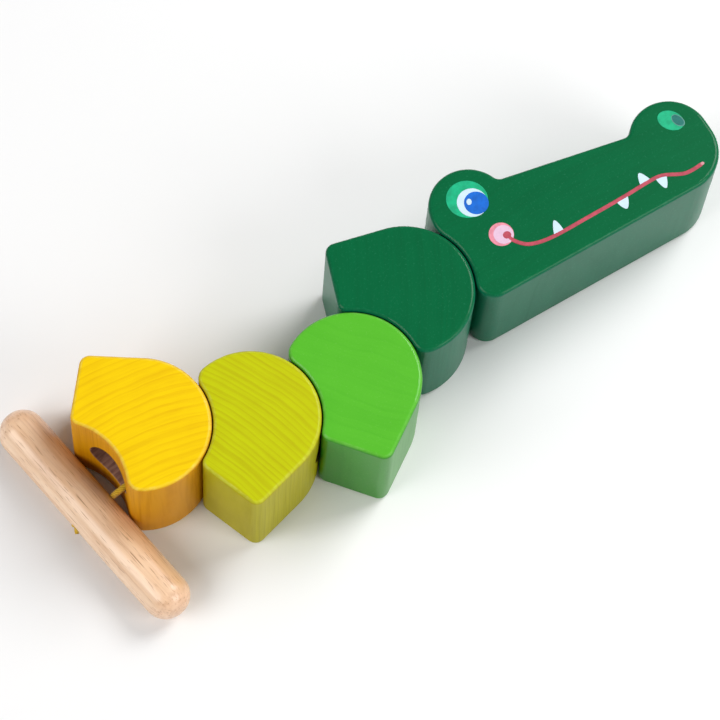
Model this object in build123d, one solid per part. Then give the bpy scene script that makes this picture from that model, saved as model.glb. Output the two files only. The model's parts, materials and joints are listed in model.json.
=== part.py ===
"""Pull-along crocodile: a long head and four nesting blocks on one cord, with a crosswise wooden handle."""
from build123d import *
import os
from math import acos, cos, degrees, pi, radians, sin, sqrt, tan

# Driving dimensions, in millimetres and degrees. X runs along the jaw towards the snout, Z is up, and the
# toy lies on its flat side on Z = 0.

# Every wooden piece of the animal is sawn from one board.
thickness = 40.0
mid_height = thickness / 2
edge_radius = 1.3

# A block is a disc with one square corner, bitten out at the back so that the next disc nests in it.
block_radius = 21.65
hinge_pitch = 33.55
corner_reach = 29.2
corner_radius = 3.3
tip_radius = 4.6
corner_tip_radius = 3.0
bite_clearance = 0.4

# Head outline, measured from the hinge axis of the block behind it.
head_gap = 0.5
jaw_y = -16.7
jaw_corner_radius = 5.6
eye_centre = (31.9, 14.0)
eye_radius = 12.8
nape_radius = 3.0
snout_slope = 10.7
snout_top_at_eye = 19.6
nostril_centre = (99.2, 1.7)
nostril_radius = 13.1
chin_centre = (97.7, -2.1)
chin_radius = 14.6
hollow_radius = 3.0

# The bore lets the handle rod through with the cord beside it.
bore_diameter = 17.6
bore_lip_radius = 0.4
head_bore_end = 48.0

# The cord's end in the head is knotted behind a glued dowel.
dowel_diameter = 8.0
dowel_length = 12.0
dowel_hole_diameter = 2.7
dowel_glue_gap = 0.02
knot_chamber_end = 66.5
anchor_knot_radius = 2.9
anchor_knot_seat = 2.6

# Handle rod, which lies on the surface against the two tips of the last block.
rod_diameter = 15.0
rod_length = 84.0
rod_end_radius = 7.2
rod_distance = 23.1
rod_yaw = 1.0
rod_hole_diameter = 2.8
rod_offset = -4.5
rod_roll = 15.0
knot_recess_diameter = 5.6
knot_recess_depth = 3.0
handle_knot_radius = 2.4
handle_knot_seat = 2.2

# Cord, and how far it runs beside the middle of each pinch between two bores.
cord_diameter = 2.2
cord_bend_radius = 8.0
pinch_offsets = {"dark_green_block": -1.7, "green_block": 0.3, "lime_block": 3.6, "yellow_block": -0.6}
mouth_point = (-13.6, -5.8, 15.2)
cord_mouth_radius = 3.0
cord_rod_radius = 1.6

# Tail order, the angle that each block turns from the piece in front, and the side that its corner is on.
rest_bends = {"dark_green_block": 29.2, "green_block": -37.3, "lime_block": -18.4, "yellow_block": 35.5}
corner_sides = {"dark_green_block": 1, "green_block": -1, "lime_block": -1, "yellow_block": 1}
block_names = list(rest_bends)

bite_radius = block_radius + bite_clearance
head_bite_radius = block_radius + head_gap


def polar(distance, angle):
    return Vector(distance * cos(radians(angle)), distance * sin(radians(angle)))


def vertex_near(shape, point):
    return shape.vertices().sort_by_distance(Vector(*point))[0]


def block_directions():
    """Angle of each block's bore from the jaw line."""
    directions, total = {}, 0.0
    for name in block_names:
        total += rest_bends[name]
        directions[name] = total
    return directions


def hinge_centres():
    """Axis that each block turns about: the centre of its own disc, on the bore of the piece in front."""
    centres, centre = {}, Vector(0, 0)
    for name in block_names:
        centres[name] = centre
        centre = centre - polar(hinge_pitch, directions[name])
    return centres


directions = block_directions()
centres = hinge_centres()


def block_frame(name):
    return Pos(*centres[name]) * Rot(0, 0, directions[name])


def cross_bore(diameter, start, end, y=0.0, height=mid_height):
    """Cylinder along X from start to end."""
    return Pos((start + end) / 2, y, height) * Rot(0, 90, 0) * Cylinder(diameter / 2, end - start)


def board(outline):
    """Outline sawn from the board, with its edges rounded over on both faces."""
    solid = extrude(outline, thickness)
    rims = solid.faces().sort_by(Axis.Z)[0].edges() + solid.faces().sort_by(Axis.Z)[-1].edges()
    return fillet(rims, edge_radius)


def block_outline(corner_side):
    half_wedge = degrees(acos(block_radius / corner_reach))
    corner = (0, corner_reach)
    tangents = [polar(block_radius, 90 + side * half_wedge) for side in (-1, 1)]
    wedge = Polygon((0, 0), tangents[0], corner, tangents[1], align=None)
    outline = Circle(block_radius) + wedge
    outline = fillet(vertex_near(outline, corner), corner_radius)
    outline -= Pos(-hinge_pitch, 0) * Circle(bite_radius)
    tip_x = -(hinge_pitch**2 + block_radius**2 - bite_radius**2) / (2 * hinge_pitch)
    tip_y = sqrt(block_radius**2 - tip_x**2)
    outline = fillet(vertex_near(outline, (tip_x, tip_y)), corner_tip_radius)
    outline = fillet(vertex_near(outline, (tip_x, -tip_y)), tip_radius)
    return outline if corner_side > 0 else mirror(outline, Plane.XZ)


def eased_bore(solid, start, end):
    """Bores the solid along X at mid-height and rounds over each mouth."""
    solid -= cross_bore(bore_diameter, start, end)
    mouths = [edge for edge in solid.edges() if abs(edge.bounding_box().size.Z - bore_diameter) < 0.01
              and edge.is_closed and edge.bounding_box().size.X > 0.5]
    return fillet(mouths, bore_lip_radius)


def block(corner_side):
    return eased_bore(board(block_outline(corner_side)), -hinge_pitch, 2 * block_radius)


def head_outline():
    def snout_top(x):
        return snout_top_at_eye - tan(radians(snout_slope)) * (x - eye_centre[0])

    bite_inside = 12.0
    below_nape = 10.0
    front = nostril_centre[0] + nostril_radius
    muzzle = Polygon(
        (bite_inside, jaw_y), (chin_centre[0], jaw_y), (front, chin_centre[1]), (front, nostril_centre[1]),
        (nostril_centre[0], snout_top(nostril_centre[0])), (eye_centre[0], snout_top(eye_centre[0])),
        (eye_centre[0], below_nape), (bite_inside, below_nape), align=None)
    outline = muzzle + Pos(*eye_centre) * Circle(eye_radius)
    outline += Pos(*nostril_centre) * Circle(nostril_radius)
    lower_half = Pos(0, -chin_radius) * Rectangle(2 * chin_radius, 2 * chin_radius)
    outline += Pos(*chin_centre) * (Circle(chin_radius) & lower_half)
    outline -= Circle(head_bite_radius)
    brow_x = eye_centre[0] + eye_radius
    nostril_x = nostril_centre[0] - nostril_radius
    hollows = [vertex_near(outline, (x, snout_top(x))) for x in (brow_x, nostril_x + 2)]
    outline = fillet(hollows, hollow_radius)
    outline = fillet(vertex_near(outline, (sqrt(head_bite_radius**2 - jaw_y**2), jaw_y)), jaw_corner_radius)
    return fillet(vertex_near(outline, (eye_centre[0] - eye_radius, eye_centre[1] - 1)), nape_radius)


def head():
    solid = eased_bore(board(head_outline()), 0, head_bore_end)
    return solid - cross_bore(dowel_diameter + 2 * dowel_glue_gap, 0, knot_chamber_end)


def anchor_dowel():
    end = head_bore_end + dowel_length
    return (cross_bore(dowel_diameter, head_bore_end, end)
            - cross_bore(dowel_hole_diameter, head_bore_end - 1, end + 1))


def knot(radius, seat):
    """Round knot on the +X side of the origin's YZ plane, flat where the cord runs into it."""
    ball = Sphere(radius)
    return ball - Pos(-radius - seat, 0, 0) * Box(2 * radius, 2 * radius, 2 * radius)


rod_radius = rod_diameter / 2


def handle_rod():
    """Rod along Y at the origin, drilled across at its middle, with the knot's recess on the far side."""
    rod = Rot(90, 0, 0) * Cylinder(rod_radius, rod_length)
    rod = fillet(rod.edges().filter_by(GeomType.CIRCLE), rod_end_radius)
    rod -= cross_bore(rod_hole_diameter, -rod_diameter, rod_diameter, height=0)
    return rod - cross_bore(knot_recess_diameter, -rod_diameter, knot_recess_depth - rod_radius, height=0)


def rod_frame():
    """Where the rod lies: against the tips of the last block, on the surface the toy stands on."""
    beside_block = block_frame("yellow_block") * Pos(-rod_distance, rod_offset, rod_radius)
    return beside_block * Rot(0, 0, rod_yaw) * Rot(0, -rod_roll, 0)


def pinch(name):
    """Point where the cord passes from the bore in front into the named block's bore."""
    middle = directions[name] - rest_bends[name] / 2
    across = polar(pinch_offsets[name], middle + 90)
    along = polar(block_radius + bite_clearance / 2, middle)
    return centres[name] + along + across + Vector(0, 0, mid_height)


def cord_route():
    """The cord's points, from the knot in the head to the knot outside the rod."""
    start = Vector(head_bore_end + dowel_length, 0, mid_height)
    leaves_dowel = Vector(head_bore_end - 3, 0, mid_height)
    in_mouth = (block_frame("yellow_block") * Pos(*mouth_point)).position
    at_rod = (rod_frame() * Pos(rod_radius + 0.2, 0, 0)).position
    end = (rod_frame() * Pos(-knot_seat_x(), 0, 0)).position
    return [start, leaves_dowel] + [pinch(name) for name in block_names] + [in_mouth, at_rod, end]


def knot_seat_x():
    """How far outside the rod's axis the cord meets the handle knot."""
    return rod_radius - knot_recess_depth + 0.4


def pull_cord():
    points = cord_route()
    radii = [cord_bend_radius] * (len(points) - 4) + [cord_mouth_radius, cord_rod_radius]
    path = FilletPolyline(*points, radius=radii)
    section = Plane(origin=path @ 0, z_dir=path % 0) * Circle(cord_diameter / 2)
    tube = sweep(section, path=path)
    ideal = pi * (cord_diameter / 2) ** 2 * path.length
    print(f"cord {path.length:.1f} mm, volume {tube.volume:.1f} of {ideal:.1f} mm3, radii {radii}")
    return tube


def build_parts():
    parts = {"head": head(), "anchor_dowel": anchor_dowel()}
    for name in block_names:
        parts[name] = block_frame(name) * block(corner_sides[name])
    parts["handle_rod"] = rod_frame() * handle_rod()
    parts["pull_cord"] = pull_cord()
    behind_dowel = Pos(head_bore_end + dowel_length + anchor_knot_seat, 0, mid_height)
    parts["anchor_knot"] = behind_dowel * knot(anchor_knot_radius, anchor_knot_seat)
    outside = Pos(-knot_seat_x() - handle_knot_seat, 0, 0) * Rot(0, 0, 180)
    parts["handle_knot"] = rod_frame() * outside * knot(handle_knot_radius, handle_knot_seat)
    return parts


parts = build_parts()
whole = Compound(children=[Compound([*part.solids()]) for part in parts.values()])
middle = whole.bounding_box().center()
stand = Pos(-middle.X, -middle.Y, 0)

os.makedirs("parts", exist_ok=True)
for name, part in parts.items():
    placed = stand * part
    placed.label = name
    export_step(placed, f"parts/{name}.step")
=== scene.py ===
import json
from math import cos, pi, radians, sin, sqrt

import bmesh
import bpy
from mathutils import Matrix, Vector


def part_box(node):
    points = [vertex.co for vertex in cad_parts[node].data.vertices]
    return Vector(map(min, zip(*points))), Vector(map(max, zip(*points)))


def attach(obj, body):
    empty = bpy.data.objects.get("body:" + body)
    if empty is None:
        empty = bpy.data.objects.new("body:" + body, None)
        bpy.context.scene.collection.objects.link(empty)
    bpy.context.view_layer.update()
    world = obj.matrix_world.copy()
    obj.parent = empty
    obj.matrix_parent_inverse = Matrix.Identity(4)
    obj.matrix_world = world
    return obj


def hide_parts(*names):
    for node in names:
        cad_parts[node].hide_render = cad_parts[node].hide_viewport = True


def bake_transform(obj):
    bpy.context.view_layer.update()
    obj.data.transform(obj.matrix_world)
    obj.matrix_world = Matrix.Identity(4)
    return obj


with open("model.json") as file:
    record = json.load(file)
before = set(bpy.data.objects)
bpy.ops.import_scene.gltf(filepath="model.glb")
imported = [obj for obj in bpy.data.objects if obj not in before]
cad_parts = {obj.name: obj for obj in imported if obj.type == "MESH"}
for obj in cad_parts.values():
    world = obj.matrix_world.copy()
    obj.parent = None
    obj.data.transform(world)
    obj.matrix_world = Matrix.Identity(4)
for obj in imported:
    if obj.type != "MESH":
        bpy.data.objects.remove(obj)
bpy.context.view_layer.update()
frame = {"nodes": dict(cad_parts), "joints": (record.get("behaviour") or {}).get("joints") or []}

MM = 0.001
nodes = frame["nodes"]
hinges = {joint["name"]: Vector(joint["pos_m"]) for joint in frame["joints"] if "pos_m" in joint}
jaw = hinges["dark_green_bend"]
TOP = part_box("head")[1].z
MID = TOP / 2
# As in the part's source, like the half lengths of the rod and the dowel.
BORE_RADIUS = 8.8 * MM
EDGE_RADIUS = 1.3 * MM
ROD_HALF_LENGTH, DOWEL_HALF_LENGTH = 42 * MM, 6 * MM


# ---------------------------------------------------------------- node helpers
class Graph:
    """Small helper round one material's node tree."""

    def __init__(self, name):
        self.material = bpy.data.materials.new(name)
        self.material.use_nodes = True
        self.tree = self.material.node_tree
        self.shader = self.tree.nodes["Principled BSDF"]

    def node(self, kind, inputs=None, **settings):
        made = self.tree.nodes.new(kind)
        for key, value in settings.items():
            setattr(made, key, value)
        for key, value in (inputs or {}).items():
            self.put(made.inputs[key], value)
        return made

    def put(self, socket, value):
        if isinstance(value, bpy.types.NodeSocket):
            self.tree.links.new(value, socket)
        else:
            socket.default_value = value

    def math(self, operation, *values, clamp=False):
        made = self.node("ShaderNodeMath", operation=operation, use_clamp=clamp)
        for socket, value in zip(made.inputs, values):
            self.put(socket, value)
        return made.outputs[0]

    def plus(self, a, b):
        return self.math("ADD", a, b)

    def minus(self, a, b):
        return self.math("SUBTRACT", a, b)

    def times(self, a, b):
        return self.math("MULTIPLY", a, b)

    def step(self, value, low, high, out_low=0.0, out_high=1.0):
        made = self.node("ShaderNodeMapRange", interpolation_type="SMOOTHSTEP")
        for socket, v in zip(made.inputs, (value, low, high, out_low, out_high)):
            self.put(socket, v)
        return made.outputs[0]

    def noise(self, vector, scale, detail=3.0, roughness=0.5):
        inputs = {"Vector": vector, "Scale": scale, "Detail": detail, "Roughness": roughness}
        return self.node("ShaderNodeTexNoise", inputs).outputs["Fac"]

    def ramp(self, value, stops):
        """Grey curve through (position, level) stops: its first and last one, then those between."""
        made = self.node("ShaderNodeValToRGB", {"Fac": value})
        elements = made.color_ramp.elements
        for i, (position, level) in enumerate(stops):
            stop = elements[i] if i < 2 else elements.new(position)
            stop.position = position
            stop.color = (level, level, level, 1.0)
        return self.split(made.outputs[0])[0]

    def mix(self, factor, a, b):
        """Colour between a and b. The node's sockets share names, so its colour ones are taken by number."""
        made = self.node("ShaderNodeMix", data_type="RGBA")
        for index, value in ((0, factor), (6, a), (7, b)):
            self.put(made.inputs[index], value)
        return made.outputs[2]

    def vector(self, x, y, z):
        return self.node("ShaderNodeCombineXYZ", {"X": x, "Y": y, "Z": z}).outputs[0]

    def split(self, vector):
        return self.node("ShaderNodeSeparateXYZ", {"Vector": vector}).outputs

    def object_point(self):
        return self.node("ShaderNodeTexCoord").outputs["Object"]

    def upright(self):
        """How squarely the surface faces up or down, from 0 to 1."""
        return self.math("ABSOLUTE", self.split(self.node("ShaderNodeTexCoord").outputs["Normal"])[2])

    def own_frame(self, place, turn):
        """Coordinates in a piece's own frame: origin at place, X turned by turn degrees."""
        inputs = {"Vector": self.object_point(), "Location": place, "Rotation": (0, 0, radians(turn))}
        return self.node("ShaderNodeMapping", inputs, vector_type="TEXTURE").outputs[0]

    def bump(self, height, distance, strength=0.5):
        made = self.node("ShaderNodeBump", {"Height": height, "Distance": distance, "Strength": strength})
        self.put(self.shader.inputs["Normal"], made.outputs[0])

    def finish(self, color, roughness, **constants):
        self.put(self.shader.inputs["Base Color"], color)
        self.put(self.shader.inputs["Roughness"], roughness)
        for key, value in constants.items():
            self.shader.inputs[key.replace("_", " ")].default_value = value
        return self.material


def rgb(r, g, b):
    """sRGB 0-255 to a linear colour."""
    def linear(c):
        c /= 255
        return c / 12.92 if c <= 0.04045 else ((c + 0.055) / 1.055) ** 2.4
    return (linear(r), linear(g), linear(b), 1.0)


# ---------------------------------------------------------------- wood
RAW_WOOD, RAW_WOOD_DEEP = rgb(168, 124, 106), rgb(132, 92, 78)
LATE_WOOD = ((0.0, 0.0), (1.0, 0.05), (0.45, 0.12), (0.84, 1.0), (0.93, 0.3))
# How far a ring strays from its circle, in ring widths, and how much the widths vary.
RING_WANDER, RING_UNEVEN = 0.9, 2.2


def growth_rings(g, own, pith, pitch):
    """Distance from an upright pith, and the dark line that ends each year's growth."""
    x, y, z = g.split(own)
    slow = g.vector(x, y, g.times(z, 0.12))
    wander = g.times(g.minus(g.noise(slow, 42.0, 2.0), 0.5), RING_WANDER * pitch)
    dx = g.plus(g.minus(x, pith[0]), wander)
    dy = g.plus(g.minus(y, pith[1]), wander)
    far = g.math("SQRT", g.plus(g.times(dx, dx), g.times(dy, dy)))
    uneven = g.times(g.noise(g.vector(far, 0.0, 0.0), 260.0, 3.0), RING_UNEVEN)
    phase = g.math("FRACT", g.plus(g.math("DIVIDE", far, pitch), uneven))
    return far, g.math("ARCTAN2", dy, dx), g.ramp(phase, LATE_WOOD)


def bore_wall(g, own, bore_end):
    """1 inside the bore, which runs along X up to its end, and 0 outside it."""
    x, y, z = g.split(own)
    up = g.minus(z, MID)
    from_axis = g.math("SQRT", g.plus(g.times(y, y), g.times(up, up)))
    around_axis = g.step(from_axis, BORE_RADIUS + 0.05 * MM, BORE_RADIUS + 0.32 * MM, 1.0, 0.0)
    return g.times(around_axis, g.step(x, bore_end, bore_end + MM, 1.0, 0.0))


def stained_wood(name, place, turn, pith, pitch, top, band, side, side_deep, worn, ring, streak, rim,
                 specks=0.0, roughness=0.36, coat=0.28, coat_roughness=0.12, level=0.1, bore_end=50 * MM):
    """Stained beech: ring lines on the sawn faces, upright fibres on the sides, edges paled by wear and a
    painted highlight, raw bore. The sides' colour holds painted shade, and painted sheen on the dark greens.
    """
    g = Graph(name)
    own = g.own_frame(place, turn)
    x, y, z = g.split(own)
    far, around, late = growth_rings(g, own, pith, pitch)
    rings = g.times(late, ring)
    grain = g.vector(g.times(far, 1500.0), g.times(around, 7.0), g.times(z, 30.0))
    fibre = g.noise(grain, 1.0, 3.0, 0.6)
    fibres = g.times(g.step(fibre, 0.4, 0.74), streak)
    cloudy = g.times(g.step(g.noise(own, 75.0, 3.0), 0.35, 0.7), 0.2)
    pores = g.times(g.step(g.noise(own, 1250.0, 2.0, 0.6), 0.6, 0.72), 0.35 * streak)
    top_mark = g.math("ADD", g.plus(rings, fibres), g.plus(cloudy, pores), clamp=True)
    side_mark = g.math("ADD", g.times(fibres, 1.3), g.times(rings, 0.5), clamp=True)
    upright = g.upright()
    # The sides take their own colour: darker than the tops on the yellow, lime and green blocks, partly as
    # painted shade, and paler and bluer on the dark greens, partly as painted sheen.
    side_colour_with_painted_light = g.mix(side_mark, side, side_deep)
    color = g.mix(g.step(upright, 0.3, 0.9), side_colour_with_painted_light, g.mix(top_mark, top, band))
    # Eased edges paled toward the worn colour all round: partly wear, partly a painted highlight along the
    # rims.
    rounded = g.step(g.math("ABSOLUTE", g.minus(z, MID)), MID - 0.85 * EDGE_RADIUS, MID - 0.3 * EDGE_RADIUS)
    rim_highlight_and_wear = g.times(rounded, g.step(upright, 0.94, 0.998, 1.0, 0.0))
    patchy = g.step(g.noise(own, 380.0, 4.0, 0.7), 0.4, 0.66, 0.25, 1.0)
    color = g.mix(g.times(g.times(rim_highlight_and_wear, patchy), rim), color, worn)
    if specks:
        dust = g.step(g.noise(own, 1300.0, 3.0, 0.7), 0.56, 0.72)
        color = g.mix(g.times(dust, specks), color, worn)
    inside = bore_wall(g, own, bore_end)
    turned = g.vector(g.times(x, 180.0), g.times(y, 900.0), g.times(z, 320.0))
    raw = g.mix(g.step(g.noise(turned, 1.0, 4.0), 0.35, 0.65), RAW_WOOD, RAW_WOOD_DEEP)
    g.bump(g.plus(g.times(fibre, 0.7), g.times(rings, 0.4)), 0.06 * MM)
    rough = g.plus(roughness, g.times(fibres, 0.15))
    rough = g.math("ADD", rough, g.times(inside, 0.35), clamp=True)
    return g.finish(g.mix(inside, color, raw), rough, Coat_Weight=coat,
                    Coat_Roughness=coat_roughness, Specular_IOR_Level=level)


def natural_beech(name, place, turn, half_length):
    """Clear-lacquered beech turned along Y: pink-tan, fine fibres, thin dark flecks, redder end grain."""
    g = Graph(name)
    own = g.own_frame(place, turn)
    x, y, z = g.split(own)
    sway = g.times(g.minus(g.noise(own, 40.0, 2.0), 0.5), 2 * MM)

    def stretched(across, along):
        return g.vector(g.times(g.plus(x, sway), across), g.times(y, along), g.times(z, across))

    fibre = g.noise(stretched(1100.0, 34.0), 1.0, 4.0, 0.6)
    broad = g.noise(stretched(150.0, 6.0), 1.0, 3.0)
    fleck = g.noise(stretched(2200.0, 170.0), 1.0, 1.0, 0.4)
    long_fleck = g.noise(stretched(1300.0, 62.0), 1.0, 2.0, 0.5)
    cloudy = g.noise(own, 55.0, 3.0)
    color = g.mix(g.step(broad, 0.3, 0.7), rgb(252, 220, 188), rgb(244, 200, 157))
    color = g.mix(g.times(g.step(cloudy, 0.4, 0.7), 0.3), color, rgb(228, 172, 122))
    color = g.mix(g.times(g.step(fibre, 0.4, 0.72), 0.5), color, rgb(204, 152, 110))
    color = g.mix(g.times(g.step(fleck, 0.62, 0.71), 0.5), color, rgb(166, 112, 72))
    color = g.mix(g.times(g.step(long_fleck, 0.67, 0.73), 0.6), color, rgb(140, 90, 56))
    across = g.math("SQRT", g.plus(g.times(x, x), g.times(z, z)))
    whorl = g.noise(g.vector(g.times(across, 900.0), g.times(y, 300.0), g.times(x, 160.0)), 1.0, 3.0)
    ends = g.step(g.math("ABSOLUTE", y), half_length - 9 * MM, half_length - 1 * MM)
    end_grain = g.mix(g.step(whorl, 0.35, 0.65), rgb(238, 190, 156), rgb(202, 146, 112))
    color = g.mix(g.times(ends, 0.4), color, end_grain)
    g.bump(g.minus(fibre, g.step(fleck, 0.66, 0.72)), 0.05 * MM)
    rough = g.plus(0.26, g.times(fibre, 0.2))
    return g.finish(color, rough, Coat_Weight=0.6, Coat_Roughness=0.26, Specular_IOR_Level=0.4)


# Angle of each piece's bore from the jaw line at rest, in degrees.
BORE_TURN = {"head": 0.0, "dark_green_block": 29.2, "green_block": -8.1, "lime_block": -26.5,
             "yellow_block": 9.0}
# In each look, side is set against top: partly the sides' own tone, partly painted shade, and painted sheen
# on the dark greens.
DEEP_GREEN = dict(top=rgb(0, 99, 57), band=rgb(0, 86, 48), side=rgb(6, 104, 74), side_deep=rgb(3, 84, 58),
                  worn=rgb(52, 142, 104), ring=0.18, streak=0.2, rim=0.16, specks=0.26, coat=0.22, level=0.05)
# worn and rim give the pale colour and strength of the eased edges, which stand for wear and for a painted
# highlight; worn also colours the pale specks.
stains = {
    "head": dict(DEEP_GREEN, pith=(0.06, -0.35), pitch=0.006, bore_end=80 * MM),
    "dark_green_block": dict(DEEP_GREEN, pith=(-0.12, 0.2), pitch=0.005),
    "green_block": dict(pith=(0.14, 0.16), pitch=0.005, top=rgb(88, 184, 44), band=rgb(76, 172, 36),
                        side=rgb(46, 138, 18), side_deep=rgb(30, 112, 12), worn=rgb(176, 226, 140), ring=0.22,
                        streak=0.2, rim=0.14, specks=0.08),
    "lime_block": dict(pith=(-0.08, -0.096), pitch=0.0019, top=rgb(192, 199, 6), band=rgb(178, 172, 4),
                       side=rgb(178, 170, 4), side_deep=rgb(150, 138, 2), worn=rgb(232, 232, 120), ring=0.55,
                       streak=0.3, rim=0.2, roughness=0.45, coat=0.08, coat_roughness=0.2),
    "yellow_block": dict(pith=(-0.023, -0.091), pitch=0.0027, top=rgb(242, 204, 2), band=rgb(226, 178, 0),
                         side=rgb(216, 150, 3), side_deep=rgb(184, 116, 2), worn=rgb(250, 232, 150), ring=0.5,
                         streak=0.3, rim=0.22, roughness=0.45, coat=0.08, coat_roughness=0.2),
}


def paint(node_name, material):
    nodes[node_name].data.materials.clear()
    nodes[node_name].data.materials.append(material)


for name, look in stains.items():
    place = jaw if name == "head" else hinges[name.replace("_block", "_bend")]
    paint(name, stained_wood(name + "_stain", place, BORE_TURN[name], **look))


def paint_beech(node_name, name, turn, half_length):
    low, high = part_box(node_name)
    paint(node_name, natural_beech(name, (low + high) / 2, turn, half_length))


paint_beech("handle_rod", "rod_beech", 10.0, ROD_HALF_LENGTH)
paint_beech("anchor_dowel", "dowel_beech", 90.0, DOWEL_HALF_LENGTH)


# ---------------------------------------------------------------- mesh helpers
def mesh_object(name, verts, faces, material, smooth=True):
    mesh = bpy.data.meshes.new(name)
    mesh.from_pydata([tuple(v) for v in verts], [], faces)
    fix = bmesh.new()
    fix.from_mesh(mesh)
    bmesh.ops.recalc_face_normals(fix, faces=fix.faces)
    fix.to_mesh(mesh)
    fix.free()
    mesh.materials.append(material)
    made = bpy.data.objects.new(name, mesh)
    bpy.context.scene.collection.objects.link(made)
    if smooth:
        mesh.shade_smooth()
    return made


def rings_to_faces(count, around, closed_ends=True):
    """Faces of a tube of count rings with around points each, capped at both ends."""
    faces = []
    for i in range(count - 1):
        for j in range(around):
            k = (j + 1) % around
            faces.append((i * around + j, i * around + k, (i + 1) * around + k, (i + 1) * around + j))
    if closed_ends:
        last = (count - 1) * around
        faces += [tuple(range(around - 1, -1, -1)), tuple(last + j for j in range(around))]
    return faces


def on_head(x, y, z):
    """A point on the head's printed face: x and y are millimetres along and across the jaw line."""
    return Vector((jaw.x + x * MM, jaw.y + y * MM, z))


# ---------------------------------------------------------------- printed face
# Layers of ink, with sizes in millimetres: each is a closed solid that starts just below the wood's surface.
INK_ROOT = -0.05


def patch(name, outline, height, material, inset=0.06):
    """Thin closed layer of ink with an eased rim on the head's upper face."""
    outline = [Vector(p) for p in outline]
    centre = sum(outline, Vector((0, 0))) / len(outline)
    verts = []
    for shrink, z in ((0.0, INK_ROOT), (0.0, 0.4 * height), (inset, height)):
        for p in outline:
            away = p - centre
            q = centre + away * (1 - shrink / away.length)
            verts.append(on_head(q.x, q.y, TOP + z * MM))
    flat = mesh_object(name, verts, rings_to_faces(3, len(outline)), material, smooth=False)
    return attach(flat, "head")


def ellipse(centre, rx, ry, turn=0.0, count=64):
    c, s = cos(radians(turn)), sin(radians(turn))
    points = []
    for i in range(count):
        a = 2 * pi * i / count
        x, y = rx * cos(a), ry * sin(a)
        points.append((centre[0] + x * c - y * s, centre[1] + x * s + y * c))
    return points


def tooth(base, half_width, height, lean, count=28):
    """Round-tipped tooth on the base point; the height is negative for one that points down."""
    taper = 0.35
    points = []
    for i in range(count + 1):
        t = pi * i / count
        rise = sin(t)
        aside = lean * rise - half_width * cos(t) * (1 - taper * rise)
        points.append((base[0] + aside, base[1] + height * rise))
    return points


def smooth_line(points, per_span=10):
    """Catmull-Rom curve through the points."""
    points = [Vector(p) for p in points]
    last = len(points) - 1
    line = []
    for i in range(last):
        a, b, c, d = (points[min(max(i + k, 0), last)] for k in (-1, 0, 1, 2))
        for j in range(per_span):
            t = j / per_span
            line.append(b + 0.5 * ((c - a) * t + (2 * a - 5 * b + 4 * c - d) * t * t
                                   + (3 * b - a - 3 * c + d) * t ** 3))
    return line + [points[-1]]


def ribbon(name, points, half_width, height, material):
    """Closed low line of ink with round ends along the points."""
    narrowest = 0.02
    line = smooth_line(points)
    length = [0.0]
    for a, b in zip(line, line[1:]):
        length.append(length[-1] + (b - a).length)
    profile = ((-1.0, INK_ROOT), (-1.0, 0.4 * height), (-0.8, height), (0.8, height), (1.0, 0.4 * height),
               (1.0, INK_ROOT))
    verts = []
    for i, p in enumerate(line):
        ahead = line[min(i + 1, len(line) - 1)] - line[max(i - 1, 0)]
        across = Vector((-ahead.y, ahead.x)).normalized()
        from_end = min(length[i], length[-1] - length[i], half_width) / half_width
        width = half_width * max(sqrt(1 - (1 - from_end) ** 2), narrowest)
        for side, z in profile:
            q = p + across * (side * width)
            verts.append(on_head(q.x, q.y, TOP + z * MM))
    flat = mesh_object(name, verts, rings_to_faces(len(line), len(profile)), material, smooth=False)
    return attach(flat, "head")


def print_ink(name, color, mottle=0.12, worn=0.3):
    """Screen-printed lacquer ink: a little uneven, with pin-point gaps."""
    g = Graph(name)
    point = g.object_point()
    dark = tuple(c * (1 - 2.2 * mottle) for c in color[:3]) + (1.0,)
    pale = tuple(min(1.0, c * 1.1 + 0.05) for c in color[:3]) + (1.0,)
    uneven = g.noise(point, 420.0, 3.0, 0.6)
    shade = g.mix(g.step(uneven, 0.3, 0.72), color, dark)
    pores = g.step(g.noise(point, 1900.0, 2.0, 0.6), 0.67, 0.73)
    shade = g.mix(g.times(pores, worn), shade, pale)
    g.bump(uneven, 0.02 * MM)
    return g.finish(shade, g.plus(0.42, g.times(uneven, 0.15)), Coat_Weight=0.05, Coat_Roughness=0.25,
                    Specular_IOR_Level=0.25)


mint = print_ink("mint_ink", rgb(8, 182, 130))
white = print_ink("white_ink", rgb(204, 228, 242), mottle=0.03, worn=0.0)
blue = print_ink("blue_ink", rgb(2, 106, 212), worn=0.1)
pink = print_ink("pink_ink", rgb(238, 148, 166))
pale_pink = print_ink("pale_pink_ink", rgb(228, 192, 216), mottle=0.05)
rose = print_ink("rose_ink", rgb(194, 78, 95), worn=0.2)
teal = print_ink("teal_ink", rgb(30, 116, 108))
grey = print_ink("grey_ink", rgb(96, 156, 146))
faded_rose = print_ink("faded_rose_ink", rgb(214, 150, 156))

patch("eye_ground", ellipse((32.4, 16.2), 6.6, 6.3, -31), 0.06, mint)
patch("eye_white", ellipse((33.2, 14.4), 4.85, 4.85), 0.10, white)
patch("eye_iris", ellipse((34.23, 13.65), 3.9, 3.9), 0.14, blue)
patch("eye_glint", ellipse((32.43, 15.09), 0.85, 1.1, -31), 0.18, white)
patch("cheek", ellipse((35.37, 0.72), 3.95, 3.95), 0.06, pink)
patch("cheek_glow", ellipse((35.95, 0.3), 3.2, 3.2), 0.10, pale_pink)
patch("tooth_1", tooth((51.3, -7.7), 1.7, 4.1, 0.8), 0.08, white)
patch("tooth_2", tooth((74.5, -8.2), 2.1, -3.6, -0.4), 0.08, white)
patch("tooth_3", tooth((83.9, -7.5), 1.95, 4.0, -0.1), 0.08, white)
patch("tooth_4", tooth((89.2, -8.0), 1.9, -4.1, -0.6), 0.08, white)
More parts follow.
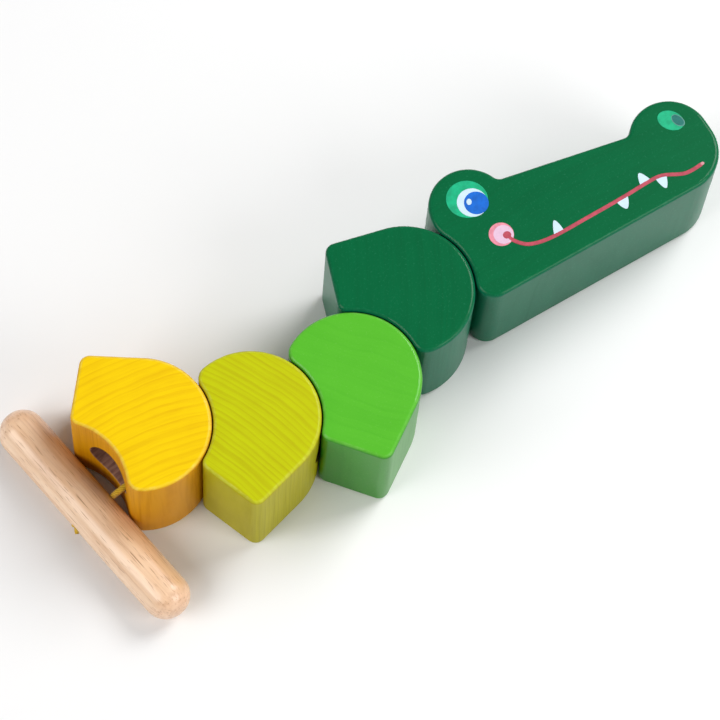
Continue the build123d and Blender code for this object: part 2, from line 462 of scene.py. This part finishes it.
mouth_line = [(36.8, -0.4), (37.9, -3.4), (41.4, -6.6), (48.7, -8.1), (62.6, -8.1), (75.8, -7.9),
              (84.5, -7.5), (89.8, -7.9), (95.6, -10.6), (99.1, -11.1), (103.0, -10.8)]
ribbon("mouth", mouth_line, 0.62, 0.14, rose)
patch("mouth_corner", ellipse(mouth_line[0], 1.35, 1.25), 0.16, rose)
patch("mouth_end", ellipse(mouth_line[-1], 0.66, 0.56), 0.17, faded_rose)
patch("nostril", ellipse((102.45, 6.7), 4.35, 3.25, -52), 0.06, mint)
patch("nostril_rim", ellipse((104.45, 5.55), 2.5, 1.65, -72), 0.10, grey)
patch("nostril_hole", ellipse((104.4, 5.6), 2.25, 1.4, -72), 0.14, teal)

# ---------------------------------------------------------------- cord
# The part's cord route in millimetres, with a point before and after each pinch between two bores and each
# tight corner at the handle. The spline cuts its corners, so the pinch points lie 0.6 mm outside the route.
route = [(67.9, 4.7, 20.0), (52.9, 4.7, 20.0), (40.4, 6.8, 20.0),
         (29.4, 9.2, 20.0), (18.1, 2.4, 20.0), (11.5, -1.2, 20.0),
         (0.3, -7.9, 20.0), (-12.9, -8.4, 20.0), (-19.7, -8.9, 20.0),
         (-32.7, -10.6, 20.0), (-44.4, -4.5, 20.0), (-51.3, -1.3, 20.0),
         (-63.0, 4.7, 20.1), (-75.9, 2.7, 18.2), (-90.7, 0.9, 16.1),
         (-97.1, 0.2, 15.2), (-98.6, 0.9, 11.5), (-99.4, 1.3, 9.5), (-101.5, 0.9, 8.9), (-111.4, -0.8, 6.2)]
# Places in that list: each pinch, the last bore's mouth, and the near side of the rod.
PINCHES = (3, 6, 9, 12)
MOUTH, AT_ROD = 15, 17
CORD_RADIUS = 1.1 * MM
BRAID_PITCH = 5.2 * MM
BRAID_DEPTH = 0.06


def smooth_route(points):
    """Points read from one NURBS spline that has the route's points as its control points."""
    curve = bpy.data.curves.new("cord_route", "CURVE")
    curve.dimensions = "3D"
    curve.resolution_u = 24
    spline = curve.splines.new("NURBS")
    spline.points.add(len(points) - 1)
    for control, p in zip(spline.points, points):
        control.co = (*(Vector(p) * MM), 1.0)
    spline.order_u = 3
    spline.use_endpoint_u = True
    carrier = bpy.data.objects.new("cord_route", curve)
    sampled = bpy.data.meshes.new_from_object(carrier)
    line = [v.co.copy() for v in sampled.vertices]
    bpy.data.objects.remove(carrier)
    bpy.data.meshes.remove(sampled)
    bpy.data.curves.remove(curve)
    return line


def braid(name, line, radius, start_at=0.0, around=20, closed_ends=True):
    """Braided tube along the line: eight strands that cross over and under each other."""
    up = Vector((0, 0, 1))
    verts, stations, travelled = [], [], start_at
    for i, p in enumerate(line):
        ahead = (line[min(i + 1, len(line) - 1)] - line[max(i - 1, 0)]).normalized()
        side = ahead.cross(up).normalized()
        top = side.cross(ahead).normalized()
        if i:
            travelled += (p - line[i - 1]).length
        stations.append(travelled)
        turn = travelled / BRAID_PITCH * 2 * pi
        for j in range(around):
            a = 2 * pi * j / around
            weave = cos(4 * a + turn) * cos(4 * a - turn)
            out = side * cos(a) + top * sin(a)
            verts.append(p + out * radius * (1 - BRAID_DEPTH * (1 - weave)))
    tube = mesh_object(name, verts, rings_to_faces(len(line), around, closed_ends), yarn)
    layer = tube.data.uv_layers.new(name="braid")
    for loop in tube.data.loops:
        i, j = divmod(loop.vertex_index, around)
        layer.data[loop.index].uv = (j / around, stations[i] / BRAID_PITCH)
    return tube


def cord_yarn(name):
    """Braided yarn: the strands are in the mesh, and here are each strand's twisted filaments and fuzz."""
    g = Graph(name)
    u, v, _ = g.split(g.node("ShaderNodeUVMap", uv_map="braid").outputs[0])
    twist = g.math("SINE", g.plus(g.times(u, 50.0), g.times(v, 27.0)))
    strand = g.step(twist, -0.8, 0.8)
    fuzz = g.noise(g.object_point(), 2600.0, 3.0, 0.6)
    color = g.mix(strand, rgb(196, 150, 16), rgb(238, 200, 50))
    color = g.mix(g.times(g.step(fuzz, 0.35, 0.7), 0.45), color, rgb(164, 118, 14))
    g.bump(g.plus(strand, fuzz), 0.05 * MM, 0.7)
    return g.finish(color, g.plus(0.74, g.times(fuzz, 0.16)), Sheen_Weight=0.3, Sheen_Roughness=0.5,
                    Specular_IOR_Level=0.2)


yarn = cord_yarn("cord_yarn")
line = smooth_route(route)
travelled = [0.0]
for a, b in zip(line, line[1:]):
    travelled.append(travelled[-1] + (b - a).length)


def nearest(point):
    return min(range(len(line)), key=lambda i: (line[i] - point).length)


def on_route(index):
    return nearest(Vector(route[index]) * MM)


def cord_piece(name, first, last):
    """The cord between two places on its line, as one braided tube."""
    tube = braid(name, line[first:last + 1], CORD_RADIUS, travelled[first])
    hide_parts("pull_cord")
    return tube


# Each span lies in two bores and bends where they meet. It is cut inside a bore, at the point past the pinch.
# Counted in the line's points: half the stretch beside a pinch, how far before the last mouth the slack ends,
# and the stretch past that cut.
BESIDE_PINCH, BEFORE_MOUTH, PAST_CUT = 6, 12, 2
cuts = [0] + [on_route(k + 1) for k in PINCHES]
bodies = ["head", "dark_green_block", "green_block", "lime_block", "yellow_block"]
for i, pinch in enumerate(PINCHES):
    span = cord_piece("cord_in_" + bodies[i].replace("_block", ""), cuts[i], cuts[i + 1])
    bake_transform(span)

leaves_bore = on_route(MOUTH) - BEFORE_MOUTH
slack = cord_piece("cord_in_yellow", cuts[-1], leaves_bore)
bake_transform(slack)
lead = cord_piece("cord_to_rod", leaves_bore, len(line) - 1)
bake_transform(lead)

# ---------------------------------------------------------------- knots
# The knot's cord is pulled tight, so it is thinner. The knot sits a little deeper in the rod's recess than
# the part's plain ball, and to one side of it.
KNOT_CORD = 0.85 * MM
KNOT_DEEPER, KNOT_ASIDE = 0.9 * MM, 0.7 * MM
KNOT_SPREAD, KNOT_THICKNESS = 0.55 * MM, 0.7 * MM
knot_low, knot_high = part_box("handle_knot")
outward = (Vector(route[-1]) - Vector(route[-2])).normalized()
sideways = outward.cross(Vector((0, 0, 1))).normalized()
downward = outward.cross(sideways).normalized()
knot_at = (knot_low + knot_high) / 2 - outward * KNOT_DEEPER + sideways * KNOT_ASIDE


def trefoil(count=96):
    """Overhand knot's closed line, flattened along the cord so that it sits in the rod's recess."""
    for i in range(count + 1):
        t = 2 * pi * i / count
        wide = sin(t) + 2 * sin(2 * t)
        high = cos(t) - 2 * cos(2 * t)
        flat = (sideways * wide + downward * high) * KNOT_SPREAD
        yield knot_at + flat - outward * KNOT_THICKNESS * sin(3 * t)


def stub(count=6):
    """The cord's cut end, which runs out of the knot and curls to one side."""
    for k in range(count):
        yield knot_at + (outward * 0.35 * k + (downward * 0.04 - sideways * 0.06) * k * k) * MM


knot = braid("cord_knot", list(trefoil()), KNOT_CORD, around=16, closed_ends=False)
tail = braid("cord_tail", list(stub()), KNOT_CORD, around=16)
for piece in (knot, tail):
    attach(piece, "handle")
    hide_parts("handle_knot")


def inner_yarn(name):
    """The knot inside the head, which nothing shows: the same yarn, without the braid's own coordinates."""
    g = Graph(name)
    weave = g.noise(g.object_point(), 1800.0, 3.0)
    g.bump(weave, 0.1 * MM)
    color = g.mix(g.step(weave, 0.35, 0.65), rgb(220, 170, 20), rgb(160, 112, 10))
    return g.finish(color, g.plus(0.75, g.times(weave, 0.2)), Specular_IOR_Level=0.2)


paint("anchor_knot", inner_yarn("inner_knot_yarn"))


# ---------------------------------------------------------------- floor, light, camera
def pale_floor(name):
    g = Graph(name)
    fine = g.noise(g.object_point(), 3.0, 4.0)
    grey = g.mix(fine, (0.86, 0.86, 0.86, 1), (0.89, 0.89, 0.89, 1))
    return g.finish(grey, g.plus(0.7, g.times(fine, 0.1)))


FLOOR_HALF, FLOOR_DROP = 3.0, 0.05 * MM
corners = [(FLOOR_HALF * x, FLOOR_HALF * y, -FLOOR_DROP) for x, y in ((-1, -1), (1, -1), (1, 1), (-1, 1))]
floor = mesh_object("floor", corners, [(0, 1, 2, 3)], pale_floor("pale_floor"))

world = bpy.data.worlds.new("studio")
bpy.context.scene.world = world
world.use_nodes = True
background = world.node_tree.nodes["Background"]
background.inputs["Color"].default_value = (1.0, 1.0, 1.0, 1.0)
background.inputs["Strength"].default_value = 0.22


def softbox(name, azimuth, elevation, distance, size, power):
    """Round soft light aimed at the toy from a compass direction in degrees, counted from +X to +Y."""
    lamp = bpy.data.lights.new(name, "AREA")
    lamp.shape = "DISK"
    lamp.size = size
    lamp.energy = power
    made = bpy.data.objects.new(name, lamp)
    bpy.context.scene.collection.objects.link(made)
    a, e = radians(azimuth), radians(elevation)
    away = Vector((cos(a) * cos(e), sin(a) * cos(e), sin(e)))
    made.location = away * distance + Vector((0, 0, MID))
    made.rotation_euler = (-away).to_track_quat("-Z", "Y").to_euler()


softbox("key", azimuth=8, elevation=47, distance=1.4, size=0.8, power=14.5)
softbox("left_fill", azimuth=176, elevation=36, distance=1.4, size=1.0, power=10.0)
softbox("front_fill", azimuth=-62, elevation=32, distance=1.4, size=0.8, power=7.5)

# The photo's camera, worked out from the toy's outline.
right = Vector((0.85445, -0.51806, 0.03912)).normalized()
ahead = Vector((0.21421, 0.28270, -0.93499)).normalized()
above = right.cross(ahead).normalized()
camera = bpy.data.cameras.new("camera")
camera.sensor_width = 36.0
camera.lens = 172.48
camera.shift_x, camera.shift_y = -0.00285, -0.00121
camera.clip_end = 20.0
eye = bpy.data.objects.new("camera", camera)
bpy.context.scene.collection.objects.link(eye)
turned = Matrix((right, above, -ahead)).transposed().to_4x4()
eye.matrix_world = Matrix.Translation(Vector((-0.24236, -0.30728, 1.02937))) @ turned
bpy.context.scene.camera = eye
bpy.context.scene.view_settings.view_transform = "Standard"
